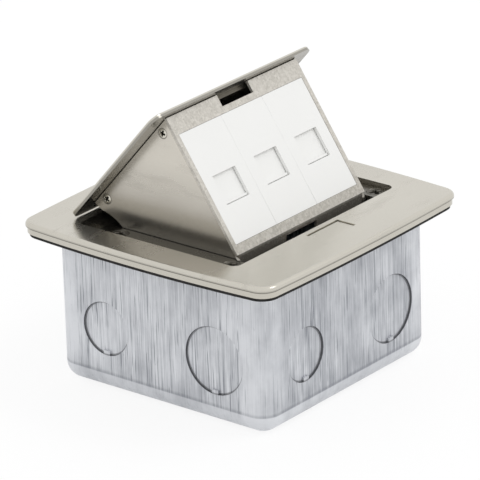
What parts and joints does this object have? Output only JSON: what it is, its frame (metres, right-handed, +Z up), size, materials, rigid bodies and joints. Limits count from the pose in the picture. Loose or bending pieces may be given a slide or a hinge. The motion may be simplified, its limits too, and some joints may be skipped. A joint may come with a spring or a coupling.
{
  "type": "floor socket box",
  "caption": "Pop-up floor socket box: square satin cover, steel back box, hinged lid with white data outlets facing forward, push-button latch.",
  "frame": {"origin": "middle of the steel box's underside", "axes": "+X along the hinge axis, +Y from the outlets towards the hinge, +Z up out of the floor"},
  "size_m": [0.1252, 0.1228, 0.1168],
  "materials": {
    "galvanised_steel": "galvanised, vertical draw marks",
    "brass": "bare",
    "gasket_rubber": "matt black foam",
    "base_metal": "satin nickel",
    "satin_steel": "fine satin",
    "screw_steel": "zinc plated",
    "zinc_sheet": "spangled zinc",
    "white_plastic": "fine satin moulding",
    "black_plastic": "moulded",
    "gear_plastic": "moulded acetal",
    "contact_gold": "gold plated"
  },
  "bodies": {
    "frame": {"back_box": "galvanised_steel", "knockouts_small": "galvanised_steel", "knockouts_large": "galvanised_steel", "box_lugs": "galvanised_steel", "earth_stud": "brass", "earth_nut": "brass", "gasket": "gasket_rubber", "cover_base": "base_metal", "cover_plate": "satin_steel", "cover_screws": "screw_steel", "latch_guide": "base_metal", "hinge_pins": "screw_steel", "torsion_springs": "screw_steel", "damper_body": "black_plastic", "damper_bracket": "zinc_sheet"},
    "popup": {"lid_plate": "satin_steel", "lid_bracket": "zinc_sheet", "cheek_left": "satin_steel", "cheek_right": "satin_steel", "cheek_screws": "screw_steel", "face_frame": "zinc_sheet", "hinge_bushes": "brass", "damper_sector": "gear_plastic", "data_module_1": "white_plastic", "data_module_2": "white_plastic", "data_module_3": "white_plastic", "jack_1": "black_plastic", "jack_2": "black_plastic", "jack_3": "black_plastic", "contacts_1": "contact_gold", "contacts_2": "contact_gold", "contacts_3": "contact_gold"},
    "button": {"latch_button": "satin_steel"},
    "bolt": {"latch_bolt": "zinc_sheet"},
    "pinion": {"damper_pinion": "gear_plastic"},
    "shutter_left": {"shutter_1": "white_plastic"},
    "shutter_middle": {"shutter_2": "white_plastic"},
    "shutter_right": {"shutter_3": "white_plastic"}
  },
  "joints": [
    {"name": "popup_hinge", "type": "hinge", "parent": "frame", "child": "popup", "pos_m": [0, 0.03915, 0.0495], "axis": [1, 0, 0], "range_deg": [0, 48.7], "stiffness_Nm_per_rad": 0.2, "springref_deg": -91.67, "deforming": ["torsion_springs"]},
    {"name": "button_press", "type": "slide", "parent": "frame", "child": "button", "axis": [0, 0, -1], "range_m": [0, 0.002], "stiffness_N_per_m": 400, "springref_m": -0.002},
    {"name": "bolt_slide", "type": "slide", "parent": "frame", "child": "bolt", "axis": [0, -1, 0], "range_m": [0, 0.002]},
    {"name": "damper_spin", "type": "hinge", "parent": "frame", "child": "pinion", "pos_m": [0, 0.03915, 0.0345], "axis": [1, 0, 0], "range_deg": [-97.4, 0]},
    {"name": "shutter_left_slide", "type": "slide", "parent": "popup", "child": "shutter_left", "axis": [0, 0.5577, 0.83], "range_m": [0, 0.0105], "stiffness_N_per_m": 20, "springref_m": -0.004},
    {"name": "shutter_middle_slide", "type": "slide", "parent": "popup", "child": "shutter_middle", "axis": [0, 0.5577, 0.83], "range_m": [0, 0.0105], "stiffness_N_per_m": 20, "springref_m": -0.004},
    {"name": "shutter_right_slide", "type": "slide", "parent": "popup", "child": "shutter_right", "axis": [0, 0.5577, 0.83], "range_m": [0, 0.0105], "stiffness_N_per_m": 20, "springref_m": -0.004}
  ],
  "couplings": [
    {"joint": "bolt_slide", "follows": "button_press", "ratio": 1},
    {"joint": "damper_spin", "follows": "popup_hinge", "ratio": -2}
  ]
}
